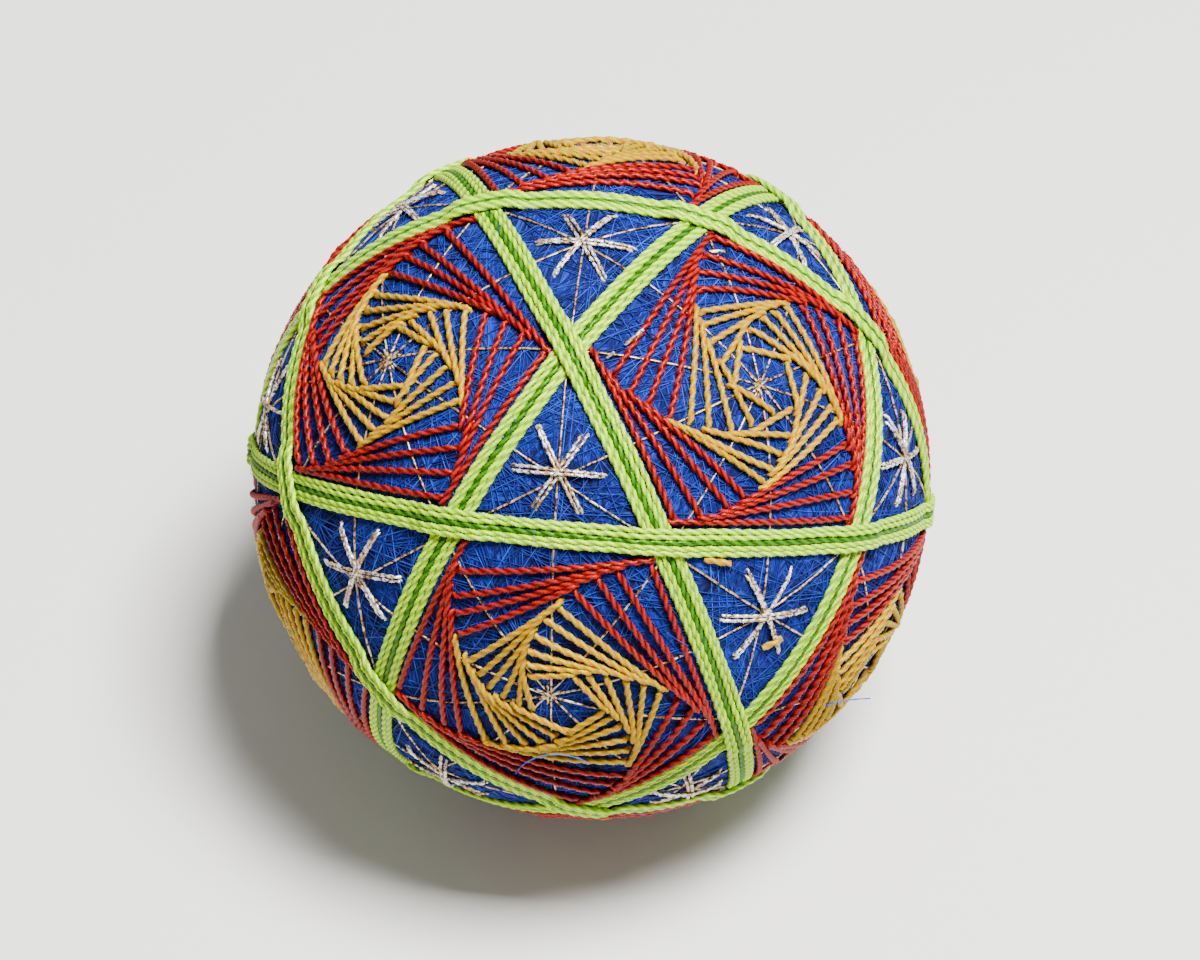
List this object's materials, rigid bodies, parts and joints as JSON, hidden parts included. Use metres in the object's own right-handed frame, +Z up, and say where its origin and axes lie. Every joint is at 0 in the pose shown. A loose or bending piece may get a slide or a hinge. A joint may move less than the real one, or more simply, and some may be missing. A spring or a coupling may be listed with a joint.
{
  "type": "temari ball",
  "caption": "Decorative thread ball: a fine-wound ball with stitched five-sided whirls, metallic stars in the triangles and flat thread bands on great circles.",
  "frame": {"origin": "on the floor under the middle of the ball, which stands on three of its bands", "axes": "+Z up through the middle of one triangle, -Y towards the viewer, with that triangle's nearest corner on -Y"},
  "size_m": [0.0894, 0.0871, 0.086],
  "materials": {
    "wound_thread": "matt blue sewing thread wound in every direction, slightly fuzzy",
    "green_thread": "glossy two-ply perle cotton in light yellow-green with a darker green middle thread",
    "red_thread": "glossy two-ply red perle cotton",
    "yellow_thread": "glossy two-ply yellow perle cotton",
    "metallic_thread": "pale gold metallic thread"
  },
  "bodies": {
    "root": {"ball": "wound_thread", "band_1": "green_thread", "band_2": "green_thread", "band_3": "green_thread", "band_4": "green_thread", "band_5": "green_thread", "band_6": "green_thread", "red_whirl_01": "red_thread", "red_whirl_02": "red_thread", "red_whirl_03": "red_thread", "red_whirl_04": "red_thread", "red_whirl_05": "red_thread", "red_whirl_06": "red_thread", "red_whirl_07": "red_thread", "red_whirl_08": "red_thread", "red_whirl_09": "red_thread", "red_whirl_10": "red_thread", "red_whirl_11": "red_thread", "red_whirl_12": "red_thread", "yellow_whirl_01": "yellow_thread", "yellow_whirl_02": "yellow_thread", "yellow_whirl_03": "yellow_thread", "yellow_whirl_04": "yellow_thread", "yellow_whirl_05": "yellow_thread", "yellow_whirl_06": "yellow_thread", "yellow_whirl_07": "yellow_thread", "yellow_whirl_08": "yellow_thread", "yellow_whirl_09": "yellow_thread", "yellow_whirl_10": "yellow_thread", "yellow_whirl_11": "yellow_thread", "yellow_whirl_12": "yellow_thread", "star_01": "metallic_thread", "star_02": "metallic_thread", "star_03": "metallic_thread", "star_04": "metallic_thread", "star_05": "metallic_thread", "star_06": "metallic_thread", "star_07": "metallic_thread", "star_08": "metallic_thread", "star_09": "metallic_thread", "star_10": "metallic_thread", "star_11": "metallic_thread", "star_12": "metallic_thread", "star_13": "metallic_thread", "star_14": "metallic_thread", "star_15": "metallic_thread", "star_16": "metallic_thread", "star_17": "metallic_thread", "star_18": "metallic_thread", "star_19": "metallic_thread", "star_20": "metallic_thread"}
  },
  "joints": []
}
